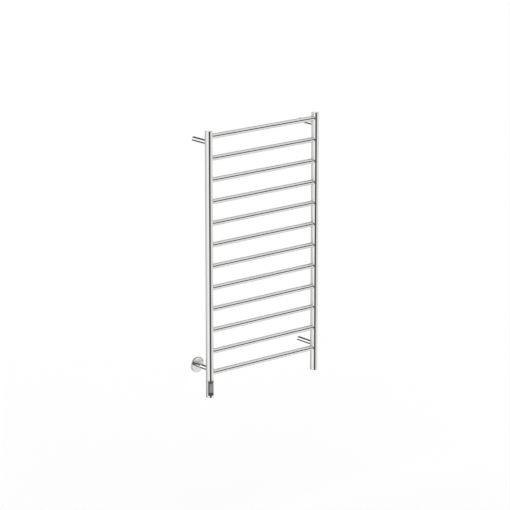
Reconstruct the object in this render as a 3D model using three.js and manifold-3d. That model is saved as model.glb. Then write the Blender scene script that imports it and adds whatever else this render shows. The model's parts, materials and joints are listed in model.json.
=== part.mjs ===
// Electric towel warmer rack: twelve round bars between two round posts, held off the wall by four legs.
// The lower left leg carries the supply wiring behind a sliding cover flange. The lower end of the left post
// is a removable control unit with a display and three push buttons.
//
// Millimetres, +Z up. The origin is the centre of the lower left leg's end, on the wall. +X runs along the
// bars from the left post to the right one. +Y points into the wall, so the front of the rack faces -Y.

import * as THREE from "three";
import { mergeVertices } from "three/addons/utils/BufferGeometryUtils.js";
import Module from "manifold-3d";

// Driving dimensions.
const POST_SPACING = 568; // centre to centre, 600 over the posts
const POST_RADIUS = 16;
const POST_WALL = 1.5;
const POST_LENGTH = 1125; // the right post, caps included
const POST_ABOVE_TOP_BAR = 26;
const WALL_TO_POST = 99; // wall to post axis, 115 to the front of the posts

const BAR_COUNT = 12;
const BAR_PITCH = 91;
const BAR_RADIUS = 11;
const BAR_WALL = 1.2;
const BOTTOM_BAR_DROP = 16.5; // bottom bar axis below the lower legs

const LEG_RADIUS = 10;
const LEG_WALL = 1.5;
const LEG_RISE = 960; // lower legs to upper legs

const GAP = 0.3; // between pieces that touch
const PAST = 2; // how far a cut runs past the surface that it goes through

const POST_SIDES = 24;
const BAR_SIDES = 16;
const SMALL_SIDES = 12;

const BOTTOM_BAR_Z = -BOTTOM_BAR_DROP;
const TOP_BAR_Z = BOTTOM_BAR_Z + BAR_PITCH * (BAR_COUNT - 1);
const POST_TOP = TOP_BAR_Z + POST_ABOVE_TOP_BAR;
const POST_BOTTOM = POST_TOP - POST_LENGTH;
const POST_BORE = POST_RADIUS - POST_WALL;
const LEG_BORE = LEG_RADIUS - LEG_WALL;

// Caps that close the tube ends.
const CAP_THICKNESS = 1.5;
const CAP_SPIGOT = 4;
const CAP_SPIGOT_BORE = POST_BORE - 2;

// Wall fixing in the three plain legs: a boss screwed to the wall, and a grub screw that holds the leg.
const BOSS_DEPTH = 16;
const BOSS_SCREW_RADIUS = 2.6;
const BOSS_HEAD_RADIUS = 4.8;
const BOSS_HEAD_DEPTH = 3;
const SET_SCREW_Y = -8;
const SET_SCREW_RADIUS = 1.9;
const SET_SCREW_LOW = -9.6;
const SET_SCREW_HIGH = -4.2;

// Control unit: a sleeve with the post's own section, and what is in it. It ends lower than the right post.
const UNIT_DROP = 6;
const UNIT_BOTTOM = POST_BOTTOM - UNIT_DROP;
const SLEEVE_LENGTH = 76;
const SLEEVE_TOP = UNIT_BOTTOM + SLEEVE_LENGTH;
const PANEL_TOP = SLEEVE_TOP - 3;
const PANEL_HEIGHT = 64;
const PANEL_BOTTOM = PANEL_TOP - PANEL_HEIGHT;
const PANEL_HALF_ANGLE = THREE.MathUtils.degToRad(65.5);
const PANEL_THICKNESS = 2.2;
const LENS_HEIGHT = 10.7;
const BEZEL_TOP = PANEL_TOP - LENS_HEIGHT - GAP;
const OVERLAY_HALF_ANGLE = THREE.MathUtils.degToRad(38);
const OVERLAY_THICKNESS = 0.5;
const OVERLAY_TOP = BEZEL_TOP - 2;
const OVERLAY_HEIGHT = 37;
const BUTTON_RADIUS = 3.5;
const BUTTON_COLLAR_RADIUS = 4.7;
const BUTTON_STEM_RADIUS = 1.4;
const BUTTON_PITCH = 11;
const BUTTON_MIDDLE_Z = OVERLAY_TOP - OVERLAY_HEIGHT / 2;
const BUTTON_NAMES = ["button_warmer", "button_power", "button_cooler"];
const SWITCH_NAMES = ["switch_warmer", "switch_power", "switch_cooler"];

// Depths in the control unit, measured from the post axis towards the front.
const BOARD_BACK = 3.2;
const BOARD_FRONT = 4.8;
const SWITCH_FRONT = 8.3;
const STEM_END = 8;
const BUTTON_COLLAR_BACK = 11.4;
const BUTTON_COLLAR_FRONT = 12.6;
const BUTTON_FACE = 15.7;
const DISPLAY_FRONT = 9.2;

// Inside the control unit: the collar that joins it to the post, its carrier, and what the carrier holds.
const COLLAR_HALF = 7.8;
const COLLAR_BORE = 12.7;
const COLLAR_SCREW_Z = SLEEVE_TOP + 4;
const SLEEVE_SCREW_Z = UNIT_BOTTOM + 20;
const REAR_SCREW_RADIUS = 1.5;
const REAR_SCREW_SINK = 0.4; // how far its head lies below the post's surface
const REAR_SCREW_CLEAR = 0.2; // how far its tip stops short of the collar's bore
const CARRIER_BORE = 12.6;
const CARRIER_BOTTOM = UNIT_BOTTOM + 14.5;
const CARRIER_HALF_ANGLE = THREE.MathUtils.degToRad(108);
const BOARD_HALF_WIDTH = 11.4;
const DISPLAY_HALF_WIDTH = 9;
const DISPLAY_HEIGHT = 9;
const RELAY_HALF_WIDTH = 8;
const RELAY_BACK = 7;
const RELAY_BOTTOM = UNIT_BOTTOM + 26;
const RELAY_HEIGHT = 18;
const SWITCH_HALF_WIDTH = 3;
const SWITCH_WELL_RADIUS = 1.8;
const SWITCH_WELL_DEPTH = 1.6;
const TERMINAL_LEFT = -9.3;
const TERMINAL_RIGHT = 6;
const TERMINAL_FRONT = -2.4;
const TERMINAL_BACK = 8;

// Cover flange on the lower left leg, shown drawn forward off the wall.
const FLANGE_RADIUS = 34;
const FLANGE_DEPTH = 6;
const FLANGE_SKIN = 1.5;
const FLANGE_DOME = 0.8; // how far the face falls back from the middle to the rim
const FLANGE_ROUND = 2.4; // size of the eased rim
const FLANGE_FACE_STEPS = 3;
const FLANGE_BORE = LEG_RADIUS + 0.35;
const FLANGE_NECK = 14.5;
const FLANGE_NECK_END = FLANGE_DEPTH - 0.2;
const FLANGE_OFF_WALL = 15;
const GROOVE_FRONT = 2.2;
const GROOVE_BACK = 4.6;
const GROOVE_RADIUS = FLANGE_BORE + 2.25;
const RING_SECTION = 0.9;
const RING_RADIUS = FLANGE_BORE + 1.05;

// Cables.
const CABLE_RADIUS = 2.5;
const CABLE_SIDES = 8;
const CABLE_BEND = 8;
const BEND_STEPS = 3;
const RISER_X = -8; // heating cable going up the left post
const LINK_X = 2; // heating cable passing from bar to bar in the left post
const SUPPLY_Y = 5.5; // supply lead behind the post axis
const SUPPLY_END = -1; // where the mains lead is joined on, just inside the wall end of the leg
const BUSH_LENGTH = 6;
const CUTOUT_RADIUS = 2.7;
const CUTOUT_LENGTH = 16;
const CUTOUT_PLACE = [-4, 7, 20]; // from the left post's axis, at the lower legs' height
const TERMINAL_TOP = SLEEVE_TOP - 10;
const TERMINAL_HEIGHT = 16;

const wasm = await Module();
wasm.setup();

// A three.js geometry as a solid that can be cut or joined.
function solidOf(geometry) {
  const bare = geometry.clone();
  bare.deleteAttribute("normal");
  bare.deleteAttribute("uv");
  const merged = mergeVertices(bare, 1e-4);
  return new wasm.Manifold(
    new wasm.Mesh({
      numProp: 3,
      vertProperties: merged.attributes.position.array,
      triVerts: new Uint32Array(merged.index.array),
    }),
  );
}

function geometryOf(solid) {
  const { vertProperties, triVerts } = solid.getMesh();
  const geometry = new THREE.BufferGeometry();
  geometry.setAttribute("position", new THREE.BufferAttribute(vertProperties, 3));
  geometry.setIndex(new THREE.BufferAttribute(triVerts, 1));
  geometry.computeVertexNormals();
  return geometry;
}

// A round bar from low to high along an axis, through the point centre on the other two.
function rod(axis, radius, low, high, sides, centre = [0, 0, 0]) {
  const geometry = new THREE.CylinderGeometry(radius, radius, high - low, sides);
  if (axis === "x") geometry.rotateZ(-Math.PI / 2);
  if (axis === "z") geometry.rotateX(Math.PI / 2);
  const middle = (low + high) / 2;
  const along = { x: [middle, 0, 0], y: [0, middle, 0], z: [0, 0, middle] }[axis];
  geometry.translate(...along.map((value, k) => value + centre[k]));
  return solidOf(geometry);
}

function block(low, high) {
  const geometry = new THREE.BoxGeometry(...low.map((value, k) => high[k] - value));
  geometry.translate(...low.map((value, k) => (value + high[k]) / 2));
  return solidOf(geometry);
}

// A curved plate about the Z axis, centred on the front (-Y), or on the back when facing is +1.
function curvedPlate(outer, inner, halfAngle, low, high, facing = -1) {
  const middle = (facing * Math.PI) / 2;
  const shape = new THREE.Shape();
  shape.absarc(0, 0, outer, middle - halfAngle, middle + halfAngle, false);
  shape.absarc(0, 0, inner, middle + halfAngle, middle - halfAngle, true);
  shape.closePath();
  const geometry = new THREE.ExtrudeGeometry(shape, {
    depth: high - low,
    bevelEnabled: false,
    curveSegments: Math.ceil((halfAngle / Math.PI) * POST_SIDES) + 2,
  });
  geometry.translate(0, 0, low);
  return solidOf(geometry);
}

// A ring turned about the Y axis from a closed profile of [radius, y] points, up the bore and down the rim.
function turned(profile, sides) {
  const outline = [...profile, profile[0]].reverse();
  const points = outline.map(([radius, y]) => new THREE.Vector2(radius, y));
  return new THREE.LatheGeometry(points, sides);
}

// A cable's route: equal steps along it land on the listed points, so only the bends have short steps.
class Route extends THREE.Curve {
  constructor(points) {
    super();
    this.points = points;
  }
  get steps() {
    return this.points.length - 1;
  }
  getPointAt(u) {
    return this.points[Math.round(u * this.steps)].clone();
  }
  getTangentAt(u) {
    const k = Math.round(u * this.steps);
    const before = this.points[Math.max(k - 1, 0)];
    const after = this.points[Math.min(k + 1, this.steps)];
    const here = this.points[k];
    const into = here.clone().sub(before).normalize();
    const out = after.clone().sub(here).normalize();
    return into.add(out).normalize();
  }
}

// The route through the given corners, each one rounded to the cable's bend radius.
function routeThrough(corners) {
  const points = [corners[0]];
  for (let k = 1; k < corners.length - 1; k++) {
    const corner = corners[k];
    const back = corners[k - 1].clone().sub(corner).normalize();
    const ahead = corners[k + 1].clone().sub(corner).normalize();
    const centre = corner.clone().addScaledVector(back, CABLE_BEND).addScaledVector(ahead, CABLE_BEND);
    for (let step = 0; step <= BEND_STEPS; step++) {
      const angle = ((Math.PI / 2) * step) / BEND_STEPS;
      const point = centre.clone();
      point.addScaledVector(ahead, -CABLE_BEND * Math.cos(angle));
      point.addScaledVector(back, -CABLE_BEND * Math.sin(angle));
      points.push(point);
    }
  }
  points.push(corners[corners.length - 1]);
  return new Route(points);
}

function cable(corners) {
  const route = routeThrough(corners);
  const section = new THREE.Shape();
  for (let side = 0; side < CABLE_SIDES; side++) {
    const angle = (2 * Math.PI * side) / CABLE_SIDES;
    const [x, y] = [CABLE_RADIUS * Math.cos(angle), CABLE_RADIUS * Math.sin(angle)];
    if (side === 0) section.moveTo(x, y);
    else section.lineTo(x, y);
  }
  section.closePath();
  return new THREE.ExtrudeGeometry(section, { steps: route.steps, extrudePath: route });
}

const steel = () => new THREE.MeshStandardMaterial({ color: 0xd6d8da, metalness: 1, roughness: 0.08 });
const zinc = () => new THREE.MeshStandardMaterial({ color: 0x9a9b98, metalness: 0.9, roughness: 0.45 });
const screwSteel = () => new THREE.MeshStandardMaterial({ color: 0x6f7174, metalness: 1, roughness: 0.3 });
const rubber = () => new THREE.MeshStandardMaterial({ color: 0x1c1c1e, metalness: 0, roughness: 0.8 });
const silicone = () => new THREE.MeshStandardMaterial({ color: 0x8c2f26, metalness: 0, roughness: 0.6 });
const darkPlastic = () => new THREE.MeshStandardMaterial({ color: 0x35343a, metalness: 0, roughness: 0.25 });
const greyPlastic = () => new THREE.MeshStandardMaterial({ color: 0x7d7b80, metalness: 0, roughness: 0.45 });
const buttonPlastic = () => new THREE.MeshStandardMaterial({ color: 0x6a686e, metalness: 0, roughness: 0.5 });
const lensPlastic = () => new THREE.MeshStandardMaterial({ color: 0x2b2940, metalness: 0, roughness: 0.08 });
const boardGreen = () => new THREE.MeshStandardMaterial({ color: 0x1f5a34, metalness: 0, roughness: 0.5 });
const housingBlack = () => new THREE.MeshStandardMaterial({ color: 0x242427, metalness: 0, roughness: 0.55 });
const paleResin = () => new THREE.MeshStandardMaterial({ color: 0xd9d4c2, metalness: 0, roughness: 0.5 });

const rack = new THREE.Group();

function add(group, name, shape, material, x = 0, y = 0, z = 0) {
  const mesh = new THREE.Mesh(shape.isBufferGeometry ? shape : geometryOf(shape), material);
  mesh.name = name;
  mesh.position.set(x, y, z);
  group.add(mesh);
}

// A post tube with a wire hole for each bar on the side that faces the other post.
function postTube(low, high, inward) {
  let tube = rod("z", POST_RADIUS, low, high, POST_SIDES);
  tube = tube.subtract(rod("z", POST_BORE, low - PAST, high + PAST, POST_SIDES));
  const reach = POST_RADIUS + PAST;
  for (let k = 0; k < BAR_COUNT; k++) {
    const z = BOTTOM_BAR_Z + k * BAR_PITCH;
    const [from, to] = inward > 0 ? [0, reach] : [-reach, 0];
    tube = tube.subtract(rod("x", BAR_RADIUS - BAR_WALL, from, to, SMALL_SIDES, [0, 0, z]));
  }
  return tube;
}

// A plug with a flush disc, closing the tube end that faces up, or down when facing is -1.
function endCap(facing) {
  const disc = rod("z", POST_RADIUS, -CAP_THICKNESS, 0, POST_SIDES);
  const spigot = rod("z", POST_BORE - GAP, -CAP_THICKNESS - CAP_SPIGOT, -CAP_THICKNESS / 2, POST_SIDES);
  const hollow = rod("z", CAP_SPIGOT_BORE, -CAP_THICKNESS - CAP_SPIGOT - PAST, -CAP_THICKNESS, POST_SIDES);
  const cap = disc.add(spigot).subtract(hollow);
  return facing > 0 ? cap : cap.rotate([180, 0, 0]);
}

// A cutter for a screw hole in the back of the left post or of the control unit.
function rearHole(z) {
  return rod("y", REAR_SCREW_RADIUS + GAP, 0, POST_RADIUS + PAST, SMALL_SIDES, [0, 0, z]);
}

function addPosts() {
  const capSeat = CAP_THICKNESS + GAP;
  const left = new THREE.Group();
  const right = new THREE.Group();
  left.position.set(0, -WALL_TO_POST, 0);
  right.position.set(POST_SPACING, -WALL_TO_POST, 0);

  const wiringHole = rod("y", LEG_BORE, 0, POST_RADIUS + PAST, SMALL_SIDES);
  const leftTube = postTube(SLEEVE_TOP + GAP, POST_TOP - capSeat, 1).subtract(wiringHole);
  add(left, "post_left", leftTube.subtract(rearHole(COLLAR_SCREW_Z)), steel());
  add(right, "post_right", postTube(POST_BOTTOM + capSeat, POST_TOP - capSeat, -1), steel());
  add(left, "cap_left_top", endCap(1), steel(), 0, 0, POST_TOP);
  add(right, "cap_right_top", endCap(1), steel(), 0, 0, POST_TOP);
  add(right, "cap_right_bottom", endCap(-1), steel(), 0, 0, POST_BOTTOM);
  add(left, "cap_left_bottom", endCap(-1), steel(), 0, 0, UNIT_BOTTOM);
  rack.add(left, right);
}

// Each bar is a tube whose ends are coped to the posts.
function addBars() {
  const half = POST_SPACING / 2;
  let bar = rod("x", BAR_RADIUS, -half, half, BAR_SIDES);
  bar = bar.subtract(rod("x", BAR_RADIUS - BAR_WALL, -half - PAST, half + PAST, BAR_SIDES));
  const reach = BAR_RADIUS + PAST;
  for (const end of [-half, half]) {
    bar = bar.subtract(rod("z", POST_RADIUS + GAP, -reach, reach, POST_SIDES, [end, 0, 0]));
  }
  const geometry = geometryOf(bar);
  for (let k = 0; k < BAR_COUNT; k++) {
    const name = "bar_" + String(k + 1).padStart(2, "0");
    add(rack, name, geometry, steel(), half, -WALL_TO_POST, TOP_BAR_Z - k * BAR_PITCH);
  }
}

// A leg tube from the wall to the back of its post.
function legTube() {
  let tube = rod("y", LEG_RADIUS, -WALL_TO_POST, 0, BAR_SIDES);
  tube = tube.subtract(rod("y", LEG_BORE, -WALL_TO_POST - PAST, PAST, BAR_SIDES));
  const reach = LEG_RADIUS + PAST;
  return tube.subtract(rod("z", POST_RADIUS + GAP, -reach, reach, POST_SIDES, [0, -WALL_TO_POST, 0]));
}

// A grub screw from low to high, with a hexagon socket in its low end. The socket is sized from the screw.
function grubScrew(radius, low, high) {
  const socketTop = low + (high - low) * 0.4;
  return rod("z", radius, low, high, SMALL_SIDES).subtract(rod("z", radius * 0.55, low - PAST, socketTop, 6));
}

function addLegs() {
  const fixedLegs = [
    ["upper_left", 0, LEG_RISE],
    ["upper_right", POST_SPACING, LEG_RISE],
    ["lower_right", POST_SPACING, 0],
  ];
  const holeRadius = SET_SCREW_RADIUS + GAP;
  const screwHole = rod("z", holeRadius, -LEG_RADIUS - PAST, 0, SMALL_SIDES, [0, SET_SCREW_Y, 0]);
  const drilledTube = legTube().subtract(screwHole);
  const headSeat = -BOSS_DEPTH + BOSS_HEAD_DEPTH;
  let boss = rod("y", LEG_BORE - GAP, -BOSS_DEPTH, 0, BAR_SIDES);
  boss = boss.subtract(rod("y", BOSS_SCREW_RADIUS, -BOSS_DEPTH - PAST, PAST, SMALL_SIDES));
  boss = boss.subtract(rod("y", BOSS_HEAD_RADIUS, -BOSS_DEPTH - PAST, headSeat, SMALL_SIDES));
  boss = boss.subtract(screwHole);
  const screw = grubScrew(SET_SCREW_RADIUS, SET_SCREW_LOW, SET_SCREW_HIGH);
  for (const [corner, x, z] of fixedLegs) {
    const leg = new THREE.Group();
    leg.position.set(x, 0, z);
    add(leg, "leg_" + corner, drilledTube, steel());
    add(leg, "wall_boss_" + corner, boss, zinc());
    add(leg, "set_screw_" + corner, screw, screwSteel(), 0, SET_SCREW_Y);
    rack.add(leg);
  }

  add(rack, "leg_lower_left", legTube(), steel());
  const bush = rod("y", LEG_BORE - GAP, -BUSH_LENGTH, 0, BAR_SIDES);
  const leadHole = rod("y", CABLE_RADIUS + GAP, -BUSH_LENGTH - PAST, PAST, SMALL_SIDES);
  add(rack, "cable_bush", bush.subtract(leadHole), rubber());
}

// A shallow domed cup with a neck that slides on the leg, and the ring in the neck that grips it. The dome
// falls back with the square of the radius, and the skin inside follows it.
function addFlange() {
  const fall = (radius) => FLANGE_DOME * (radius / FLANGE_RADIUS) ** 2;
  const dome = (from, to, depth) =>
    Array.from({ length: FLANGE_FACE_STEPS + 1 }, (_, k) => {
      const radius = from + ((to - from) * k) / FLANGE_FACE_STEPS;
      return [radius, fall(radius) - fall(FLANGE_BORE) + depth];
    });
  const profile = [
    [FLANGE_BORE, GROOVE_FRONT],
    [GROOVE_RADIUS, GROOVE_FRONT],
    [GROOVE_RADIUS, GROOVE_BACK],
    [FLANGE_BORE, GROOVE_BACK],
    [FLANGE_BORE, FLANGE_NECK_END],
    [FLANGE_NECK, FLANGE_NECK_END],
    ...dome(FLANGE_NECK, FLANGE_RADIUS - FLANGE_ROUND - FLANGE_SKIN / 2, FLANGE_SKIN),
    [FLANGE_RADIUS - FLANGE_SKIN, FLANGE_ROUND + FLANGE_SKIN / 2],
    [FLANGE_RADIUS - FLANGE_SKIN, FLANGE_DEPTH],
    [FLANGE_RADIUS, FLANGE_DEPTH],
    [FLANGE_RADIUS, FLANGE_ROUND],
    ...dome(FLANGE_RADIUS - FLANGE_ROUND, FLANGE_BORE, 0),
  ];
  const front = -FLANGE_OFF_WALL - FLANGE_DEPTH;
  add(rack, "cover_flange", turned(profile, POST_SIDES), steel(), 0, front, 0);
  const ring = new THREE.TorusGeometry(RING_RADIUS, RING_SECTION, CABLE_SIDES, BAR_SIDES);
  ring.rotateX(Math.PI / 2);
  add(rack, "flange_o_ring", ring, rubber(), 0, front + (GROOVE_FRONT + GROOVE_BACK) / 2, 0);
}

// The heating cable rises in the left post and runs back and forth through every bar. The supply lead comes
// in through the lower left leg. Both end on the terminal block.
function addCables() {
  const corner = (x, z) => new THREE.Vector3(x, -WALL_TO_POST, z);
  const corners = [corner(RISER_X, TERMINAL_TOP + GAP)];
  for (let k = 0; k < BAR_COUNT; k++) {
    const z = TOP_BAR_Z - k * BAR_PITCH;
    const leftX = k === 0 ? RISER_X : LINK_X;
    const ends = [corner(leftX, z), corner(POST_SPACING, z)];
    corners.push(...(k % 2 === 0 ? ends : ends.reverse()));
  }
  corners.push(corner(LINK_X, TERMINAL_TOP + GAP));
  add(rack, "heating_cable", cable(corners), silicone());

  const supplyY = -WALL_TO_POST + SUPPLY_Y;
  const supply = [
    new THREE.Vector3(0, SUPPLY_END, 0),
    new THREE.Vector3(0, supplyY, 0),
    new THREE.Vector3(0, supplyY, TERMINAL_TOP + GAP),
  ];
  add(rack, "supply_lead", cable(supply), rubber());
  const [cutoutX, cutoutY, cutoutZ] = CUTOUT_PLACE;
  const cutout = rod("z", CUTOUT_RADIUS, 0, CUTOUT_LENGTH, SMALL_SIDES);
  add(rack, "thermal_cutout", cutout, paleResin(), cutoutX, -WALL_TO_POST + cutoutY, cutoutZ);
}

// The control unit, built about the left post's axis.
function addControlUnit() {
  const unit = new THREE.Group();
  unit.position.set(0, -WALL_TO_POST, 0);

  const sleeveLow = UNIT_BOTTOM + CAP_THICKNESS + GAP;
  let sleeve = rod("z", POST_RADIUS, sleeveLow, SLEEVE_TOP, POST_SIDES);
  sleeve = sleeve.subtract(rod("z", POST_BORE, sleeveLow - PAST, SLEEVE_TOP + PAST, POST_SIDES));
  const windowAngle = PANEL_HALF_ANGLE + GAP / POST_RADIUS;
  const [outside, inside] = [POST_RADIUS + PAST, POST_BORE - PAST];
  const opening = curvedPlate(outside, inside, windowAngle, PANEL_BOTTOM - GAP, PANEL_TOP + GAP);
  add(unit, "control_sleeve", sleeve.subtract(opening).subtract(rearHole(SLEEVE_SCREW_Z)), steel());

  const [collarLow, collarHigh] = [SLEEVE_TOP - COLLAR_HALF, SLEEVE_TOP + COLLAR_HALF];
  let collar = rod("z", POST_BORE - GAP, collarLow, collarHigh, POST_SIDES);
  collar = collar.subtract(rod("z", COLLAR_BORE, collarLow - PAST, collarHigh + PAST, POST_SIDES));
  const frontRelief = curvedPlate(outside, COLLAR_BORE - PAST, windowAngle, collarLow - PAST, PANEL_TOP + 1);
  collar = collar.subtract(frontRelief).subtract(rearHole(COLLAR_SCREW_Z));
  add(unit, "joining_collar", collar, zinc());

  const carrierTop = collarLow - 1;
  let carrier = curvedPlate(POST_BORE - GAP, CARRIER_BORE, CARRIER_HALF_ANGLE, CARRIER_BOTTOM, carrierTop, 1);
  carrier = carrier.subtract(rearHole(SLEEVE_SCREW_Z));
  add(unit, "control_carrier", carrier, housingBlack());

  const screwHead = -POST_RADIUS + REAR_SCREW_SINK;
  const screw = grubScrew(REAR_SCREW_RADIUS, screwHead, -COLLAR_BORE - REAR_SCREW_CLEAR).rotate([90, 0, 0]);
  add(unit, "collar_screw", screw, screwSteel(), 0, 0, COLLAR_SCREW_Z);
  add(unit, "sleeve_screw", screw, screwSteel(), 0, 0, SLEEVE_SCREW_Z);

  const [boardLow, boardHigh] = [PANEL_BOTTOM + 1, PANEL_TOP - 1];
  const boardCorner = [BOARD_HALF_WIDTH, -BOARD_BACK, boardHigh];
  add(unit, "control_board", block([-BOARD_HALF_WIDTH, -BOARD_FRONT, boardLow], boardCorner), boardGreen());
  const displayLow = [-DISPLAY_HALF_WIDTH, -DISPLAY_FRONT, boardHigh - DISPLAY_HEIGHT];
  const displayHigh = [DISPLAY_HALF_WIDTH, -BOARD_FRONT - GAP, boardHigh];
  add(unit, "display_module", block(displayLow, displayHigh), housingBlack());
  const relayLow = [-RELAY_HALF_WIDTH, -BOARD_BACK + GAP, RELAY_BOTTOM];
  const relayHigh = [RELAY_HALF_WIDTH, RELAY_BACK, RELAY_BOTTOM + RELAY_HEIGHT];
  add(unit, "power_relay", block(relayLow, relayHigh), paleResin());
  const terminalLow = [TERMINAL_LEFT, TERMINAL_FRONT, TERMINAL_TOP - TERMINAL_HEIGHT];
  add(unit, "terminal_block", block(terminalLow, [TERMINAL_RIGHT, TERMINAL_BACK, TERMINAL_TOP]), paleResin());

  addPanel(unit);
  rack.add(unit);
}

function addPanel(unit) {
  const inner = POST_RADIUS - PANEL_THICKNESS;
  const lens = curvedPlate(POST_RADIUS, inner, PANEL_HALF_ANGLE, PANEL_TOP - LENS_HEIGHT, PANEL_TOP);
  add(unit, "display_lens", lens, lensPlastic());

  const overlayLow = OVERLAY_TOP - OVERLAY_HEIGHT;
  const seatRadius = POST_RADIUS - OVERLAY_THICKNESS - GAP;
  const seatAngle = OVERLAY_HALF_ANGLE + GAP / POST_RADIUS;
  let bezel = curvedPlate(POST_RADIUS, inner, PANEL_HALF_ANGLE, PANEL_BOTTOM, BEZEL_TOP);
  const outside = POST_RADIUS + PAST;
  bezel = bezel.subtract(curvedPlate(outside, seatRadius, seatAngle, overlayLow - GAP, OVERLAY_TOP + GAP));
  const overlayInner = POST_RADIUS - OVERLAY_THICKNESS;
  let overlay = curvedPlate(POST_RADIUS, overlayInner, OVERLAY_HALF_ANGLE, overlayLow, OVERLAY_TOP);

  const [collarFront, collarBack] = [-BUTTON_COLLAR_FRONT, -BUTTON_COLLAR_BACK];
  const face = rod("y", BUTTON_RADIUS, -BUTTON_FACE, collarBack, SMALL_SIDES);
  const collar = rod("y", BUTTON_COLLAR_RADIUS, collarFront, collarBack, SMALL_SIDES);
  const stem = rod("y", BUTTON_STEM_RADIUS, (collarFront + collarBack) / 2, -STEM_END, SMALL_SIDES);
  const button = face.add(collar).add(stem);
  const switchLow = [-SWITCH_HALF_WIDTH, -SWITCH_FRONT, -SWITCH_HALF_WIDTH];
  const switchBody = block(switchLow, [SWITCH_HALF_WIDTH, -BOARD_FRONT - GAP, SWITCH_HALF_WIDTH]);
  const wellBack = -SWITCH_FRONT + SWITCH_WELL_DEPTH;
  const well = rod("y", SWITCH_WELL_RADIUS, -SWITCH_FRONT - PAST, wellBack, SMALL_SIDES);
  const keySwitch = switchBody.subtract(well);

  BUTTON_NAMES.forEach((name, k) => {
    const z = BUTTON_MIDDLE_Z + (1 - k) * BUTTON_PITCH;
    const hole = rod("y", BUTTON_RADIUS + GAP, -outside, -inner + PAST, SMALL_SIDES, [0, 0, z]);
    bezel = bezel.subtract(hole);
    overlay = overlay.subtract(hole);
    add(unit, name, button, buttonPlastic(), 0, 0, z);
    add(unit, SWITCH_NAMES[k], keySwitch, housingBlack(), 0, 0, z);
  });
  add(unit, "control_bezel", bezel, darkPlastic());
  add(unit, "keypad_overlay", overlay, greyPlastic());
}

addPosts();
addBars();
addLegs();
addFlange();
addCables();
addControlUnit();

export default rack;
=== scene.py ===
import json
import math

import bmesh
import bpy
import numpy as np
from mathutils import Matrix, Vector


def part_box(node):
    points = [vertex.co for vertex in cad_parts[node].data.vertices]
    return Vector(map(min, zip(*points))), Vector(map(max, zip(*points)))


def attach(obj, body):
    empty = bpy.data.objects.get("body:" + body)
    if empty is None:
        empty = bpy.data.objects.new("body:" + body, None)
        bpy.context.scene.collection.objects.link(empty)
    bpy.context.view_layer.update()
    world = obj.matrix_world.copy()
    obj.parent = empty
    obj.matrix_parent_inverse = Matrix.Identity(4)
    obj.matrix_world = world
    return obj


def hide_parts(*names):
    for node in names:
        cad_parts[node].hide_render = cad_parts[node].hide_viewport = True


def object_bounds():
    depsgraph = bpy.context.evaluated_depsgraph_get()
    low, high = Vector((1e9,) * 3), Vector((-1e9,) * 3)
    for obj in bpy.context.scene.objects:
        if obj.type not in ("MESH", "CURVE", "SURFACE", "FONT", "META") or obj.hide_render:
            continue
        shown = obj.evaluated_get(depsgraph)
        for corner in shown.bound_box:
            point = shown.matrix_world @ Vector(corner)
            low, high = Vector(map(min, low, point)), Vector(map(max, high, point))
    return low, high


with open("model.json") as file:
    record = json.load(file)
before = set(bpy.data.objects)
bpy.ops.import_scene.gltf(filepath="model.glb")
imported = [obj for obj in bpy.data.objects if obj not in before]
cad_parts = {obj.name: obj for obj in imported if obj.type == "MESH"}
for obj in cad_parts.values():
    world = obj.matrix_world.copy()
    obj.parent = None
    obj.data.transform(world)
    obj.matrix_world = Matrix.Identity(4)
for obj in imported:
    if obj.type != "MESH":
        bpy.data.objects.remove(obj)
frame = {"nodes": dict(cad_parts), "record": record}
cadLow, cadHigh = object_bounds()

# The looks of a polished towel warmer rack, in metres: X along the bars, Y into the wall, Z up.

mm = 0.001
turn = 2 * math.pi
sharpAngle = 38  # degrees, where smooth shading stops


def nodeBox(node):
    low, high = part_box(node)
    return np.array(low), np.array(high)


def nodeCentre(node):
    low, high = nodeBox(node)
    return (low + high) / 2


barNames = sorted(name for name in frame["nodes"] if name.startswith("bar_"))
leftLow, leftHigh = nodeBox("post_left")
postRadius = (leftHigh[0] - leftLow[0]) / 2
leftAxis = nodeCentre("post_left")
rightAxis = nodeCentre("post_right")
sleeveLow, sleeveHigh = nodeBox("control_sleeve")


cameraView = dict(
    yaw=39.47,  # degrees to the right of straight at the wall
    pitch=15.26,  # degrees down
    distance=11.014,
    aim=(0.0055, 0.0046, -0.0135),  # from the middle of the rack
    lens=186.285,
)

# Cards round the rack, as it sees them: degrees right of the front, degrees above the horizon, brightness.
studio = dict(
    white=1.09,
    background=1.04,
    floorDrop=0.6,  # below the rack
    floorRadius=40.0,
    floorSides=96,
    floorColours=((0.955, 0.955, 0.955), (0.965, 0.965, 0.965)),
    floorClouds=0.8,  # patches to the metre
    cards=[
        dict(name="floor side", across=(-400, 400), up=(-100, -3), tone=0.68, soft=6),
        dict(name="front left floor", across=(-100, -30), up=(-60, -3), tone=0.9, soft=14),
        dict(name="wall side", across=(-400, -134), up=(-100, 100), tone=0.5, soft=18),
        dict(name="wall side right", across=(98, 400), up=(-6, 100), tone=0.42, soft=10),
        dict(name="ceiling right", across=(20, 100), up=(20, 70), tone=0.74, soft=4),
        dict(name="right floor", across=(12, 82), up=(-60, -3), tone=0.76, soft=6),
        dict(name="right wall foot", across=(82, 150), up=(-32, -8), tone=0.84, soft=8),
        dict(name="back left white", across=(-158, -130), up=(-9, 31), tone=1.05, soft=4),
        dict(name="behind", across=(132, 150), up=(8, 24), tone=0.95, soft=4),
        dict(name="front dark", across=(-38, 14), up=(-52, 60), tone=0.065, soft=6),
        dict(name="horizon line", across=(14, 78), up=(-9, 21), tone=0.02, soft=3),
        dict(name="back low right", across=(116, 166), up=(-9, 5), tone=0.05, soft=3),
        dict(name="high back", across=(144, 203), up=(18, 52), tone=0.03, soft=5),
        dict(name="low back", across=(-218, -141), up=(-50, -18), tone=0.03, soft=3),
    ],
)


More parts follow.
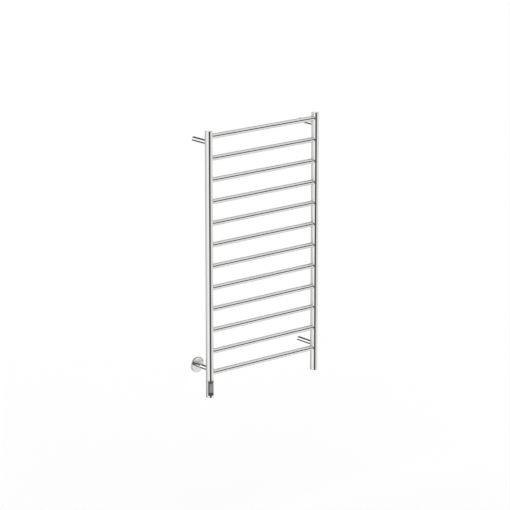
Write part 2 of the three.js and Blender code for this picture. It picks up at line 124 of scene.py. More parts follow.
def cameraAxes(yaw, pitch):
    yaw, pitch = math.radians(yaw), math.radians(pitch)
    forward = (math.sin(yaw) * math.cos(pitch), math.cos(yaw) * math.cos(pitch), -math.sin(pitch))
    return np.array(forward), (math.pi / 2 - pitch, 0, -yaw)


def makeCamera():
    middle = (np.array(cadLow) + np.array(cadHigh)) / 2
    forward, turned = cameraAxes(cameraView["yaw"], cameraView["pitch"])
    data = bpy.data.cameras.new("camera")
    data.lens = cameraView["lens"]
    data.sensor_width = 36
    data.clip_end = 100
    camera = bpy.data.objects.new("camera", data)
    camera.location = middle + np.array(cameraView["aim"]) - cameraView["distance"] * forward
    camera.rotation_euler = turned
    bpy.context.scene.collection.objects.link(camera)
    bpy.context.scene.camera = camera


# 1 between the angles low and high, falling smoothly to 0 over the angle soft at each.
def softStep(tree, value, low, high, soft):
    half = soft / 2
    rise = addRange(tree, value, math.radians(low - half), math.radians(low + half), "SMOOTHSTEP")
    fall = addRange(tree, value, math.radians(high + half), math.radians(high - half), "SMOOTHSTEP")
    return addMath(tree, "MULTIPLY", rise, fall)


def makeWorld():
    world = bpy.data.worlds.new("studio")
    bpy.context.scene.world = world
    world.use_nodes = True
    tree = world.node_tree
    nodes, links = tree.nodes, tree.links
    nodes.clear()

    place = nodes.new("ShaderNodeTexCoord")
    parts = nodes.new("ShaderNodeSeparateXYZ")
    links.new(place.outputs["Generated"], parts.inputs[0])
    front = addMath(tree, "MULTIPLY", parts.outputs["Y"], -1)
    across = addMath(tree, "ARCTAN2", parts.outputs["X"], front)
    up = addMath(tree, "ARCSINE", parts.outputs["Z"])

    tone = None
    for card in studio["cards"]:
        # a card that passes straight behind is met from both sides
        spans = [card["across"], (card["across"][0] - 360, card["across"][1] - 360)]
        masks = [softStep(tree, across, *span, card["soft"]) for span in spans]
        upMask = softStep(tree, up, *card["up"], card["soft"])
        mask = addMath(tree, "MULTIPLY", addMath(tree, "MAXIMUM", *masks), upMask)
        mix = nodes.new("ShaderNodeMix")
        mix.data_type = "FLOAT"
        mix.inputs["A"].default_value = studio["white"]
        mix.inputs["B"].default_value = card["tone"]
        links.new(mask, mix.inputs["Factor"])
        if tone is not None:
            links.new(tone, mix.inputs["A"])
        tone = mix.outputs["Result"]

    # the steel sees the cards; the floor and the plain background see even white
    path = nodes.new("ShaderNodeLightPath")
    choose = nodes.new("ShaderNodeMix")
    choose.data_type = "FLOAT"
    choose.inputs["A"].default_value = studio["background"]
    links.new(path.outputs["Is Glossy Ray"], choose.inputs["Factor"])
    links.new(tone, choose.inputs["B"])
    background = nodes.new("ShaderNodeBackground")
    output = nodes.new("ShaderNodeOutputWorld")
    links.new(choose.outputs["Result"], background.inputs["Color"])
    links.new(background.outputs[0], output.inputs["Surface"])


# A wide round floor below the rack. The steel reflects the cards instead of it.
def makeFloor():
    mesh = bpy.data.meshes.new("floor")
    radius, height = studio["floorRadius"], cadLow[2] - studio["floorDrop"]
    angles = np.linspace(0, turn, studio["floorSides"], endpoint=False)
    ring = np.stack([radius * np.cos(angles), radius * np.sin(angles), height + 0 * angles], axis=1)
    mesh.from_pydata(ring.tolist(), [], [list(range(len(angles)))])
    mesh.materials.append(floorPaint())
    floor = bpy.data.objects.new("floor", mesh)
    bpy.context.scene.collection.objects.link(floor)
    floor.visible_glossy = False


# An empty shader node group: inputs are (socket type, name, value), outputs are (socket type, name).
def groupShell(name, inputs, outputs):
    tree = bpy.data.node_groups.new(name, "ShaderNodeTree")
    for kind, socketName, value in inputs:
        socket = tree.interface.new_socket(socketName, in_out="INPUT", socket_type=kind)
        socket.default_value = value
    for kind, socketName in outputs:
        tree.interface.new_socket(socketName, in_out="OUTPUT", socket_type=kind)
    return tree, tree.nodes.new("NodeGroupInput"), tree.nodes.new("NodeGroupOutput")


def addNoise(tree, vector, scale, detail, roughness=0.5):
    noise = tree.nodes.new("ShaderNodeTexNoise")
    noise.inputs["Scale"].default_value = scale
    noise.inputs["Detail"].default_value = detail
    noise.inputs["Roughness"].default_value = roughness
    tree.links.new(vector, noise.inputs["Vector"])
    return noise.outputs["Fac"]


# 0 at low, 1 at high, whichever of them is the greater.
def addRange(tree, value, low, high, shape="LINEAR"):
    ramp = tree.nodes.new("ShaderNodeMapRange")
    ramp.interpolation_type = shape
    ramp.inputs["From Min"].default_value = low
    ramp.inputs["From Max"].default_value = high
    tree.links.new(value, ramp.inputs["Value"])
    return ramp.outputs["Result"]


def addMath(tree, operation, first, second=None, third=None):
    node = tree.nodes.new("ShaderNodeMath")
    node.operation = operation
    for k, value in enumerate((first, second, third)):
        if isinstance(value, (int, float)):
            node.inputs[k].default_value = value
        elif value is not None:
            tree.links.new(value, node.inputs[k])
    return node.outputs[0]


def addBump(tree, height, strength, distance):
    bump = tree.nodes.new("ShaderNodeBump")
    bump.inputs["Distance"].default_value = distance
    tree.links.new(strength, bump.inputs["Strength"])
    tree.links.new(height, bump.inputs["Height"])
    return bump.outputs["Normal"]


# Noise ranges: nothing below the first value, all of it above the second.
polish = dict(lineRange=(0.42, 0.72), patchRange=(0.5, 0.72), patchesPerMetre=16.0, lineDepth=0.02 * mm)
grit = dict(sheenPerMetre=90.0, specksPerMetre=700.0, speckRange=(0.62, 0.75), depth=0.05 * mm)


# Fine lines left by the polishing belt, with hazy patches where hands have been.
def polishMarksGroup():
    tree, source, sink = groupShell(
        "polishMarks",
        [
            ("NodeSocketVector", "Lines", (0, 0, 0)),
            ("NodeSocketFloat", "Roughness", 0.05),
            ("NodeSocketFloat", "Line Roughness", 0.04),
            ("NodeSocketFloat", "Haze", 0.05),
            ("NodeSocketFloat", "Depth", 0.05),
        ],
        [("NodeSocketFloat", "Roughness"), ("NodeSocketFloat", "Haze"), ("NodeSocketVector", "Normal")],
    )
    place = tree.nodes.new("ShaderNodeTexCoord")
    stretch = tree.nodes.new("ShaderNodeVectorMath")
    stretch.operation = "MULTIPLY"
    tree.links.new(place.outputs["Object"], stretch.inputs[0])
    tree.links.new(source.outputs["Lines"], stretch.inputs[1])
    lines = addNoise(tree, stretch.outputs[0], 1.0, 3.0, 0.65)
    lineMask = addRange(tree, lines, *polish["lineRange"])
    patches = addNoise(tree, place.outputs["Object"], polish["patchesPerMetre"], 4.0, 0.6)
    hazeMask = addRange(tree, patches, *polish["patchRange"])
    base, extra = source.outputs["Roughness"], source.outputs["Line Roughness"]
    lined = addMath(tree, "MULTIPLY_ADD", lineMask, extra, base)
    hazed = addMath(tree, "MULTIPLY_ADD", hazeMask, source.outputs["Haze"], lined)
    tree.links.new(hazed, sink.inputs["Roughness"])
    tree.links.new(hazeMask, sink.inputs["Haze"])
    normal = addBump(tree, lines, source.outputs["Depth"], polish["lineDepth"])
    tree.links.new(normal, sink.inputs["Normal"])
    return tree


# The fine grain of moulded plastic or rubber, with a worn sheen and settled dust.
def mouldedGroup():
    tree, source, sink = groupShell(
        "mouldedGrain",
        [
            ("NodeSocketFloat", "Grain", 2500.0),
            ("NodeSocketFloat", "Roughness", 0.4),
            ("NodeSocketFloat", "Spread", 0.1),
            ("NodeSocketFloat", "Depth", 0.2),
        ],
        [("NodeSocketFloat", "Roughness"), ("NodeSocketFloat", "Dust"), ("NodeSocketVector", "Normal")],
    )
    place = tree.nodes.new("ShaderNodeTexCoord")
    grain = tree.nodes.new("ShaderNodeTexNoise")
    grain.inputs["Detail"].default_value = 2.0
    tree.links.new(place.outputs["Object"], grain.inputs["Vector"])
    tree.links.new(source.outputs["Grain"], grain.inputs["Scale"])
    sheen = addNoise(tree, place.outputs["Object"], grit["sheenPerMetre"], 3.0)
    swing = addMath(tree, "SUBTRACT", sheen, 0.5)
    rough = addMath(tree, "MULTIPLY_ADD", swing, source.outputs["Spread"], source.outputs["Roughness"])
    tree.links.new(rough, sink.inputs["Roughness"])
    specks = addNoise(tree, place.outputs["Object"], grit["specksPerMetre"], 2.0)
    tree.links.new(addRange(tree, specks, *grit["speckRange"]), sink.inputs["Dust"])
    normal = addBump(tree, grain.outputs["Fac"], source.outputs["Depth"], grit["depth"])
    tree.links.new(normal, sink.inputs["Normal"])
    return tree


groups = {}


def blankMaterial(name, metallic):
    material = bpy.data.materials.new(name)
    material.use_nodes = True
    shader = material.node_tree.nodes["Principled BSDF"]
    shader.inputs["Metallic"].default_value = metallic
    return material, material.node_tree, shader


def useGroup(tree, group, **values):
    node = tree.nodes.new("ShaderNodeGroup")
    node.node_tree = groups[group]
    for socket, value in values.items():
        node.inputs[socket.replace("_", " ")].default_value = value
    return node


def mixColours(tree, factor, first, second):
    mix = tree.nodes.new("ShaderNodeMix")
    mix.data_type = "RGBA"
    tree.links.new(factor, mix.inputs["Factor"])
    mix.inputs["A"].default_value = (*first, 1)
    mix.inputs["B"].default_value = (*second, 1)
    return mix.outputs["Result"]


steel = dict(
    colour=(0.945, 0.943, 0.93),
    hazeColour=(0.9, 0.898, 0.885),
    roughness=0.035,
    lineRoughness=0.035,
    haze=0.03,
    depth=0.12,
    linesPerMetre=2600.0,  # along the tube, so the marks run round it
    linesRound=35.0,
)


def polishedSteel(name, along):
    material, tree, shader = blankMaterial(name, 1.0)
    grain = [steel["linesRound"]] * 3
    grain["xyz".index(along)] = steel["linesPerMetre"]
    marks = useGroup(
        tree,
        "polishMarks",
        Lines=grain,
        Roughness=steel["roughness"],
        Line_Roughness=steel["lineRoughness"],
        Haze=steel["haze"],
        Depth=steel["depth"],
    )
    tint = mixColours(tree, marks.outputs["Haze"], steel["colour"], steel["hazeColour"])
    tree.links.new(tint, shader.inputs["Base Color"])
    tree.links.new(marks.outputs["Roughness"], shader.inputs["Roughness"])
    tree.links.new(marks.outputs["Normal"], shader.inputs["Normal"])
    return material


# Plastic, rubber or cast metal: one colour with grain, sheen and specks of dust.
def moulded(name, colour, roughness, spread=0.1, depth=0.15, grain=2500.0, metallic=0.0, dust=0.12):
    material, tree, shader = blankMaterial(name, metallic)
    surface = useGroup(tree, "mouldedGrain", Grain=grain, Roughness=roughness, Spread=spread, Depth=depth)
    dusty = [c + dust * (0.5 - c) for c in colour]
    tree.links.new(mixColours(tree, surface.outputs["Dust"], colour, dusty), shader.inputs["Base Color"])
    tree.links.new(surface.outputs["Roughness"], shader.inputs["Roughness"])
    tree.links.new(surface.outputs["Normal"], shader.inputs["Normal"])
    return material, tree, shader


fascia = dict(
    colour=(0.13, 0.128, 0.132),
    footColour=(0.055, 0.054, 0.057),  # a darker band at the foot
    footHeight=13.5 * mm,
    footBlur=0.15 * mm,
    roughness=0.2,
)


def fasciaPlastic():
    material, tree, shader = moulded("fasciaPlastic", fascia["colour"], fascia["roughness"], depth=0.05)
    foot = nodeBox("control_bezel")[0][2] + fascia["footHeight"]
    place = tree.nodes.new("ShaderNodeTexCoord")
    parts = tree.nodes.new("ShaderNodeSeparateXYZ")
    tree.links.new(place.outputs["Object"], parts.inputs[0])
    blur = fascia["footBlur"]
    mask = addRange(tree, parts.outputs["Z"], foot - blur, foot + blur)
    tint = mixColours(tree, mask, fascia["footColour"], fascia["colour"])
    tree.links.new(tint, shader.inputs["Base Color"])
    return material


lens = dict(colour=(0.06, 0.056, 0.09), roughness=0.07, gloss=0.8)


# Smoked window: a clear hard coat over dark violet plastic.
def lensPlastic():
    material, _, shader = moulded("displayLens", lens["colour"], lens["roughness"], 0.04, 0.02, dust=0.04)
    shader.inputs["Specular IOR Level"].default_value = lens["gloss"]
    shader.inputs["Coat Weight"].default_value = 1.0
    return material


def floorPaint():
    material, tree, shader = blankMaterial("floorPaint", 0.0)
    place = tree.nodes.new("ShaderNodeTexCoord")
    cloud = addNoise(tree, place.outputs["Object"], studio["floorClouds"], 3.0)
    tint = mixColours(tree, cloud, *studio["floorColours"])
    tree.links.new(tint, shader.inputs["Base Color"])
    shader.inputs["Roughness"].default_value = 0.9
    shader.inputs["Specular IOR Level"].default_value = 0.0
    return material


def makeMaterials():
    groups["polishMarks"] = polishMarksGroup()
    groups["mouldedGrain"] = mouldedGroup()
    return dict(
        steelX=polishedSteel("polishedSteelAlongX", "x"),
        steelY=polishedSteel("polishedSteelAlongY", "y"),
        steelZ=polishedSteel("polishedSteelAlongZ", "z"),
        zinc=moulded("zincCasting", (0.55, 0.56, 0.55), 0.42, 0.2, 0.5, 900.0, 1.0)[0],
        screw=moulded("screwSteel", (0.35, 0.36, 0.38), 0.3, 0.2, 0.2, 1500.0, 1.0)[0],
        rubber=moulded("blackRubber", (0.012, 0.012, 0.014), 0.7, 0.15, 0.5, 1800.0)[0],
        silicone=moulded("redSilicone", (0.26, 0.03, 0.02), 0.55, 0.1, 0.3, 1800.0)[0],
        fascia=fasciaPlastic(),
        keypad=moulded("keypadPlastic", (0.27, 0.265, 0.275), 0.33, 0.08, 0.12, 3500.0)[0],
        button=moulded("buttonPlastic", (0.2, 0.198, 0.206), 0.38, 0.1, 0.2, 3500.0)[0],
        mark=moulded("markInk", (0.62, 0.62, 0.64), 0.5, 0.05, 0.05)[0],
        lens=lensPlastic(),
        board=moulded("boardGreen", (0.02, 0.12, 0.04), 0.4, 0.1, 0.2)[0],
        housing=moulded("housingBlack", (0.02, 0.02, 0.022), 0.5, 0.1, 0.3)[0],
        resin=moulded("paleResin", (0.7, 0.67, 0.58), 0.5, 0.1, 0.2)[0],
        brownCore=moulded("brownCore", (0.12, 0.04, 0.015), 0.45)[0],
        blueCore=moulded("blueCore", (0.02, 0.08, 0.35), 0.45)[0],
        greenCore=moulded("greenCore", (0.08, 0.3, 0.03), 0.45)[0],
    )


# Quads between neighbouring points of a grid; a ring also joins its last line to its first.
def gridFaces(rows, columns, ringRows, ringColumns):
    r = np.arange(rows if ringRows else rows - 1)[:, None]
    c = np.arange(columns if ringColumns else columns - 1)[None, :]
    nextRow, nextColumn = (r + 1) % rows, (c + 1) % columns
    quads = [r * columns + c, nextRow * columns + c, nextRow * columns + nextColumn, r * columns + nextColumn]
    return np.stack(np.broadcast_arrays(*quads), axis=-1).reshape(-1, 4)


# One object from grids, each (points, ringRows, ringColumns). A shell is closed and turned outwards.
def makeObject(name, grids, material, shell=True, sharp=sharpAngle):
    points, faces, count = [], [], 0
    for grid, ringRows, ringColumns in grids:
        points.append(grid.reshape(-1, 3))
        faces.append(gridFaces(grid.shape[0], grid.shape[1], ringRows, ringColumns) + count)
        count += grid.shape[0] * grid.shape[1]
    mesh = bpy.data.meshes.new(name)
    mesh.from_pydata(np.concatenate(points).tolist(), [], np.concatenate(faces).tolist())
    work = bmesh.new()
    work.from_mesh(mesh)
    bmesh.ops.remove_doubles(work, verts=work.verts, dist=0.002 * mm)
    bmesh.ops.dissolve_degenerate(work, edges=work.edges, dist=0.001 * mm)
    if shell:
        bmesh.ops.recalc_face_normals(work, faces=work.faces)
    work.to_mesh(mesh)
    work.free()
    mesh.shade_smooth()
    mesh.set_sharp_from_angle(angle=math.radians(sharp))
    mesh.materials.append(material)
    made = bpy.data.objects.new(name, mesh)
    bpy.context.scene.collection.objects.link(made)
    return made


def makePiece(name, grids, material, slot, body="rack", replaced=(), **more):
    piece = makeObject(name, grids, material, **more)
    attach(piece, body)
    if replaced:
        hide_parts(*replaced)
    return piece


# A profile with each corner (a, b, radius) rounded to an arc, in equal turns from its start to its end, and
# a point just past each arc to hold its shape.
def roundCorners(corners, closed, steps=5, support=0.25 * mm):
    spots = np.array([corner[:2] for corner in corners], float)
    count = len(corners)
    made = []
    for k, (spot, (_, _, radius)) in enumerate(zip(spots, corners)):
        ended = not closed and k in (0, count - 1)
        if radius == 0 or ended:
            made.append(spot[None])
            continue
        before, after = spots[k - 1] - spot, spots[(k + 1) % count] - spot
        lengths = np.linalg.norm(before), np.linalg.norm(after)
        before, after = before / lengths[0], after / lengths[1]
        half = math.acos(np.clip(before @ after, -1, 1)) / 2
        cut = radius / math.tan(half)
        middle = spot + (before + after) / np.linalg.norm(before + after) * radius / math.sin(half)
        start, end = spot + before * cut, spot + after * cut
        share = np.linspace(0, 1, steps + 1)[:, None]
        sweep = math.pi - 2 * half
        arc = (start - middle) * np.sin((1 - share) * sweep) + (end - middle) * np.sin(share * sweep)
        if lengths[0] > cut + 2 * support:
            made.append(start[None] + before * support)
        made.append(middle + arc / math.sin(sweep))
        if lengths[1] > cut + 2 * support:
            made.append(end[None] + after * support)
    return np.concatenate(made)


# Local coordinates laid on the row's axes: the last one runs along the named axis.
def placeAlong(across, other, along, axis):
    order = {"x": (along, across, other), "y": (across, along, other), "z": (across, other, along)}[axis]
    return np.stack(np.broadcast_arrays(*order), axis=-1)


# A profile of (radius, along) turned about an axis: each point goes round in a circle.
def turnedGrid(profile, axis, centre, segments):
    angles = np.linspace(0, turn, segments, endpoint=False)[None, :]
    radius, along = profile[:, 0][:, None], profile[:, 1][:, None]
    return placeAlong(radius * np.cos(angles), radius * np.sin(angles), along, axis) + centre


def turnedPiece(name, corners, axis, centre, material, slot, segments=96, closed=True, **more):
    grid = turnedGrid(roundCorners(corners, closed), axis, centre, segments)
    return makePiece(name, [(grid, closed, True)], material, slot, **more)


# Rings where a round branch meets a post, from inside the post's wall out to the plain tube.
# The fillet is a quarter arc: its height off the post is f(1 - sin t), and it widens the branch by
# f(1 - cos t). A ring at height d off the post is sqrt((R + d)^2 - v^2) from the post's axis, v across it.
def branchRows(radius, fillet, angles, steps=7, sink=0.6 * mm, bore=None):
    arc = np.linspace(math.pi / 2, 0, steps)[:, None]
    heights = np.concatenate([[[-sink]], [[-sink]], fillet * (1 - np.sin(arc))])
    widths = np.concatenate([[[bore]], [[radius + fillet]], radius + fillet * (1 - np.cos(arc))])
    across, up = widths * np.cos(angles), widths * np.sin(angles)
    out = np.sqrt((postRadius + heights) ** 2 - across**2)
    return across, up, out


post = dict(wall=1.5 * mm, edge=0.25 * mm, segments=128, screwHole=1.8 * mm)
cap = dict(thickness=1.5 * mm, edge=0.6 * mm, lip=0.12 * mm, spigotWall=2.0 * mm, clearance=0.3 * mm)


# Cuts a round hole through a piece along one axis, from its middle line to beyond its outside.
def drill(piece, centre, axis, toward, radius, reach=14 * mm, segments=32):
    k = "xyz".index(axis)
    low, high = sorted((centre[k] - toward * reach / 2, centre[k] + toward * reach / 2))
    foot = centre.copy()
    foot[k] = 0
    grid = turnedGrid(np.array([(0, low), (radius, low), (radius, high), (0, high)]), axis, foot, segments)
    bit = makeObject(piece.name + "Bit", [(grid, False, True)], piece.data.materials[0])
    cut = piece.modifiers.new("hole", "BOOLEAN")
    cut.operation = "DIFFERENCE"
    cut.solver = "EXACT"
    cut.object = bit
    made = bpy.data.meshes.new_from_object(piece.evaluated_get(bpy.context.evaluated_depsgraph_get()))
    piece.modifiers.clear()
    old = piece.data
    piece.data = made
    made.name = piece.name
    bpy.data.meshes.remove(old)
    made.set_sharp_from_angle(angle=math.radians(sharpAngle))
    bpy.data.objects.remove(bit)


def postPiece(name, node):
    low, high = nodeBox(node)
    inner = postRadius - post["wall"]
    edge = post["edge"]
    foot, head = low[2], high[2]
    corners = [(postRadius, foot, edge), (postRadius, head, edge), (inner, head, 0), (inner, foot, 0)]
    centre = np.array([nodeCentre(node)[0], nodeCentre(node)[1], 0])
    return turnedPiece(
        name, corners, "z", centre, materials["steelZ"], "polished_steel", post["segments"], replaced=(node,)
    )


# A disc with a rounded edge, and the hollow spigot that goes into the tube.
def capPiece(name, node, up):
    low, high = nodeBox(node)
    outer = high[2] if up else low[2]
    side = 1 if up else -1
    inner = postRadius - post["wall"] - cap["clearance"]
    under = outer - side * cap["thickness"]
    end = low[2] if up else high[2]
    corners = [
        (0, outer, 0),
        (postRadius, outer, cap["edge"]),
        (postRadius, under, cap["lip"]),
        (inner, under, 0),
        (inner, end, 0),
        (inner - cap["spigotWall"], end, 0),
        (inner - cap["spigotWall"], under, 0),
        (0, under, 0),
    ]
    centre = np.array([nodeCentre(node)[0], nodeCentre(node)[1], 0])
    turnedPiece(
        name, corners, "z", centre, materials["steelZ"], "polished_steel", post["segments"], False,
        replaced=(node,),
    )


def makePosts():
    left = postPiece("postTubeLeft", "post_left")
    postPiece("postTubeRight", "post_right")
    drill(left, nodeCentre("collar_screw"), "y", 1, post["screwHole"])
    capPiece("postCapLeftTop", "cap_left_top", True)
    capPiece("postCapRightTop", "cap_right_top", True)
    capPiece("postCapRightFoot", "cap_right_bottom", False)
    capPiece("postCapLeftFoot", "cap_left_bottom", False)
    print("posts and caps made")


bar = dict(wall=1.2 * mm, fillet=1.4 * mm, segments=64, straightRows=5)


# A tube from post to post: fillet rings at each end, straight rings between, and the bore back again.
def barPiece(name, node):
    low, high = nodeBox(node)
    radius = (high[2] - low[2]) / 2
    angles = np.linspace(0, turn, bar["segments"], endpoint=False)[None, :]
    across, up, out = branchRows(radius, bar["fillet"], angles, bore=radius - bar["wall"])
    span = rightAxis[0] - leftAxis[0]
    near = postRadius + bar["fillet"] + 1 * mm
    straight = np.linspace(near, span - near, bar["straightRows"])[:, None] + 0 * angles
    x = leftAxis[0] + np.concatenate([out, straight, span - out[::-1]])
    plainAcross = radius * np.cos(angles) + 0 * straight
    plainUp = radius * np.sin(angles) + 0 * straight
    y = leftAxis[1] + np.concatenate([across, plainAcross, across[::-1]])
    z = (low[2] + high[2]) / 2 + np.concatenate([up, plainUp, up[::-1]])
    grid = np.stack([x, y, z], axis=-1)
    makePiece(name, [(grid, True, True)], materials["steelX"], "polished_steel", replaced=(node,))


def makeBars():
    for k, node in enumerate(barNames):
        barPiece(f"warmBar{k + 1:02d}", node)
    print("bars made:", len(barNames))


leg = dict(wall=1.5 * mm, fillet=1.8 * mm, edge=0.3 * mm, segments=64, screwHole=2.2 * mm)
wallBoss = dict(screwHole=2.6 * mm, headHole=4.8 * mm, headDepth=3 * mm, edge=0.35 * mm)
grubScrew = dict(segments=48, chamfer=0.3 * mm, socket=1.05 * mm, socketDepth=1.8 * mm)


# A tube from its post to the wall, with a fillet at the post and a rounded rim at the wall.
def legPiece(name, node):
    low, high = nodeBox(node)
    radius = (high[2] - low[2]) / 2
    inner = radius - leg["wall"]
    angles = np.linspace(0, turn, leg["segments"], endpoint=False)[None, :]
    across, up, out = branchRows(radius, leg["fillet"], angles, bore=inner)
    end = high[1] - leftAxis[1]
    near = postRadius + leg["fillet"] + 1 * mm
    edge = leg["edge"]
    rim = roundCorners([(radius, near, 0), (radius, end, edge), (inner, end, edge), (inner, near, 0)], False)
    ringAcross, ringUp = rim[:, :1] * np.cos(angles), rim[:, :1] * np.sin(angles)
    y = leftAxis[1] + np.concatenate([out, rim[:, 1:] + 0 * angles])
    x = nodeCentre(node)[0] + np.concatenate([across, ringAcross])
    z = nodeCentre(node)[2] + np.concatenate([up, ringUp])
    grid = np.stack([x, y, z], axis=-1)
    return makePiece(name, [(grid, True, True)], materials["steelY"], "polished_steel", replaced=(node,))


def bossPiece(name, node):
    low, high = nodeBox(node)
    radius, edge = (high[2] - low[2]) / 2, wallBoss["edge"]
    corners = [
        (radius, low[1], edge),
        (radius, high[1], edge),
        (wallBoss["screwHole"], high[1], edge),
        (wallBoss["screwHole"], low[1] + wallBoss["headDepth"], 0),
        (wallBoss["headHole"], low[1] + wallBoss["headDepth"], 0),
        (wallBoss["headHole"], low[1], 0),
    ]
    centre = np.array([nodeCentre(node)[0], 0, nodeCentre(node)[2]])
    turnedPiece(name, corners, "y", centre, materials["zinc"], "zinc_casting", 64, replaced=(node,))


# A headless screw: rings down the outside and over the face, then a hexagon that sinks into a socket.
def grubPiece(name, node, axis, outward):
    low, high = nodeBox(node)
    k = "xyz".index(axis)
    centre = (low + high) / 2
    radius = (high - low)[(k + 1) % 3] / 2
    face, back = (high[k], low[k]) if outward > 0 else (low[k], high[k])
    centre[k] = 0
    chamfer, depth = grubScrew["chamfer"], face - outward * grubScrew["socketDepth"]
    angles = np.linspace(0, turn, grubScrew["segments"], endpoint=False)[None, :]
    hexagon = grubScrew["socket"] / np.cos((angles + math.pi / 6) % (math.pi / 3) - math.pi / 6)
    circle = np.ones_like(angles)
    narrow, full = (radius - chamfer) * circle, radius * circle
    radii = [0 * circle, narrow, full, full, narrow, 1.12 * hexagon, hexagon, hexagon, 0 * circle]
    ins = outward * chamfer
    heights = [back, back, back + ins, face - ins, face, face, face - ins / 3, depth, depth - ins]
    radii = np.concatenate(radii)
    along = np.array(heights)[:, None]
    grid = placeAlong(radii * np.cos(angles), radii * np.sin(angles), along, axis) + centre
    makePiece(name, [(grid, False, True)], materials["screw"], "screw_steel", replaced=(node,), sharp=30)


def makeLegs():
    for corner in ("upper_left", "upper_right", "lower_right"):
        title = corner.title().replace("_", "")
        tube = legPiece("leg" + title, "leg_" + corner)
        drill(tube, nodeCentre("set_screw_" + corner), "z", -1, leg["screwHole"])
        bossPiece("wallBoss" + title, "wall_boss_" + corner)
        grubPiece("setScrew" + title, "set_screw_" + corner, "z", -1)
    legPiece("legLowerLeft", "leg_lower_left")
    print("legs made")


flange = dict(
    skin=1.5 * mm,
    dome=0.8 * mm,  # how far the face falls back from its middle to its rim
    rim=3.2 * mm,
    inset=1.6 * mm,  # round of the skin inside the rim
    lip=0.4 * mm,
    backEdge=0.3 * mm,
    neckClearance=0.35 * mm,  # between the leg and the neck's bore
    neckWall=4.15 * mm,
    neckBack=0.2 * mm,  # how far the neck stops short of the rim
    neckEdge=0.2 * mm,
    neckFillet=0.6 * mm,
    groove=(2.2 * mm, 4.6 * mm, 2.25 * mm),  # front, back and depth
    grooveEdge=0.1 * mm,
    faceSteps=25,
    segments=160,
)
gripRing = dict(sides=20, segments=96)
lead = dict(
    radius=2.5 * mm,
    bend=8 * mm,
    bendSteps=12,
    straightSteps=6,
    sides=32,
    coreRadius=0.72 * mm,
    coreRing=1.1 * mm,  # from the lead's middle to each core's
    coreStub=0.5 * mm,  # how far the cores stand out of the lead's end
    coreSunk=2 * mm,
    coreEdge=0.15 * mm,
)
bush = dict(clearance=0.15 * mm, frontEdge=0.3 * mm, backEdge=0.4 * mm, mouth=0.8 * mm, segments=64)


# A shallow spun cup whose neck slides on the leg. Its face falls back by dome * (radius / outer radius)^2.
def makeFlange():
    low, high = nodeBox("cover_flange")
    centre = np.array([nodeCentre("cover_flange")[0], 0, nodeCentre("cover_flange")[2]])
    outer = (high[0] - low[0]) / 2
    legLow, legHigh = nodeBox("leg_lower_left")
    bore = (legHigh[2] - legLow[2]) / 2 + flange["neckClearance"]
    neck = bore + flange["neckWall"]
    start, end = low[1], high[1]
    grooveStart, grooveEnd, grooveDepth = flange["groove"]
    grooveEdge, neckEdge, backEdge = flange["grooveEdge"], flange["neckEdge"], flange["backEdge"]
    neckEnd = end - flange["neckBack"]
    skin = flange["skin"]

    def faceCorners(fromRadius, toRadius, depth, firstRound, lastRound):
        radii = np.linspace(fromRadius, toRadius, flange["faceSteps"])
        clear = (abs(radii - fromRadius) > firstRound) & (abs(radii - toRadius) > lastRound)
        clear[[0, -1]] = True
        radii = radii[clear]
        falls = start + depth + flange["dome"] * (radii**2 - bore**2) / outer**2
        rounds = np.zeros_like(radii)
        rounds[0], rounds[-1] = firstRound, lastRound
        return list(zip(radii, falls, rounds))

    corners = [
        (bore, start + grooveStart, grooveEdge),
        (bore + grooveDepth, start + grooveStart, 0),
        (bore + grooveDepth, start + grooveEnd, 0),
        (bore, start + grooveEnd, grooveEdge),
        (bore, neckEnd, neckEdge),
        (neck, neckEnd, neckEdge),
        *faceCorners(neck, outer - skin, skin, flange["neckFillet"], flange["inset"]),
        (outer - skin, end, backEdge),
        (outer, end, backEdge),
        *faceCorners(outer, bore, 0, flange["rim"], flange["lip"]),
    ]
    turnedPiece(
        "coverFlange", corners, "y", centre, materials["steelY"], "polished_steel", flange["segments"],
        body="wall_cover", replaced=("cover_flange",),
    )
    low, high = nodeBox("flange_o_ring")
    thick = (high[1] - low[1]) / 2
    middle = (high[0] - low[0]) / 2 - thick
    circle = np.linspace(0, turn, gripRing["sides"], endpoint=False)
    depth = (low[1] + high[1]) / 2
    section = np.stack([middle + thick * np.cos(circle), depth + thick * np.sin(circle)], axis=1)
    grid = turnedGrid(section, "y", centre, gripRing["segments"])
    makePiece(
        "flangeGripRing", [(grid, True, True)], materials["rubber"], "black_rubber",
        body="wall_cover", replaced=("flange_o_ring",),
    )
    print("cover flange made")


# A round tube carried along a path that lies in the YZ plane, closed at both ends.
def tubeAlong(path, radius, sides):
    tangent = np.gradient(path, axis=0)
    tangent /= np.linalg.norm(tangent, axis=1)[:, None]
    side = np.array([1.0, 0, 0])
    other = np.cross(tangent, side)
    angles = np.linspace(0, turn, sides, endpoint=False)[None, :, None]
    rings = path[:, None] + radius * (np.cos(angles) * side + np.sin(angles) * other[:, None])
    return np.concatenate([np.repeat(path[:1, None], sides, 1), rings, np.repeat(path[-1:, None], sides, 1)])


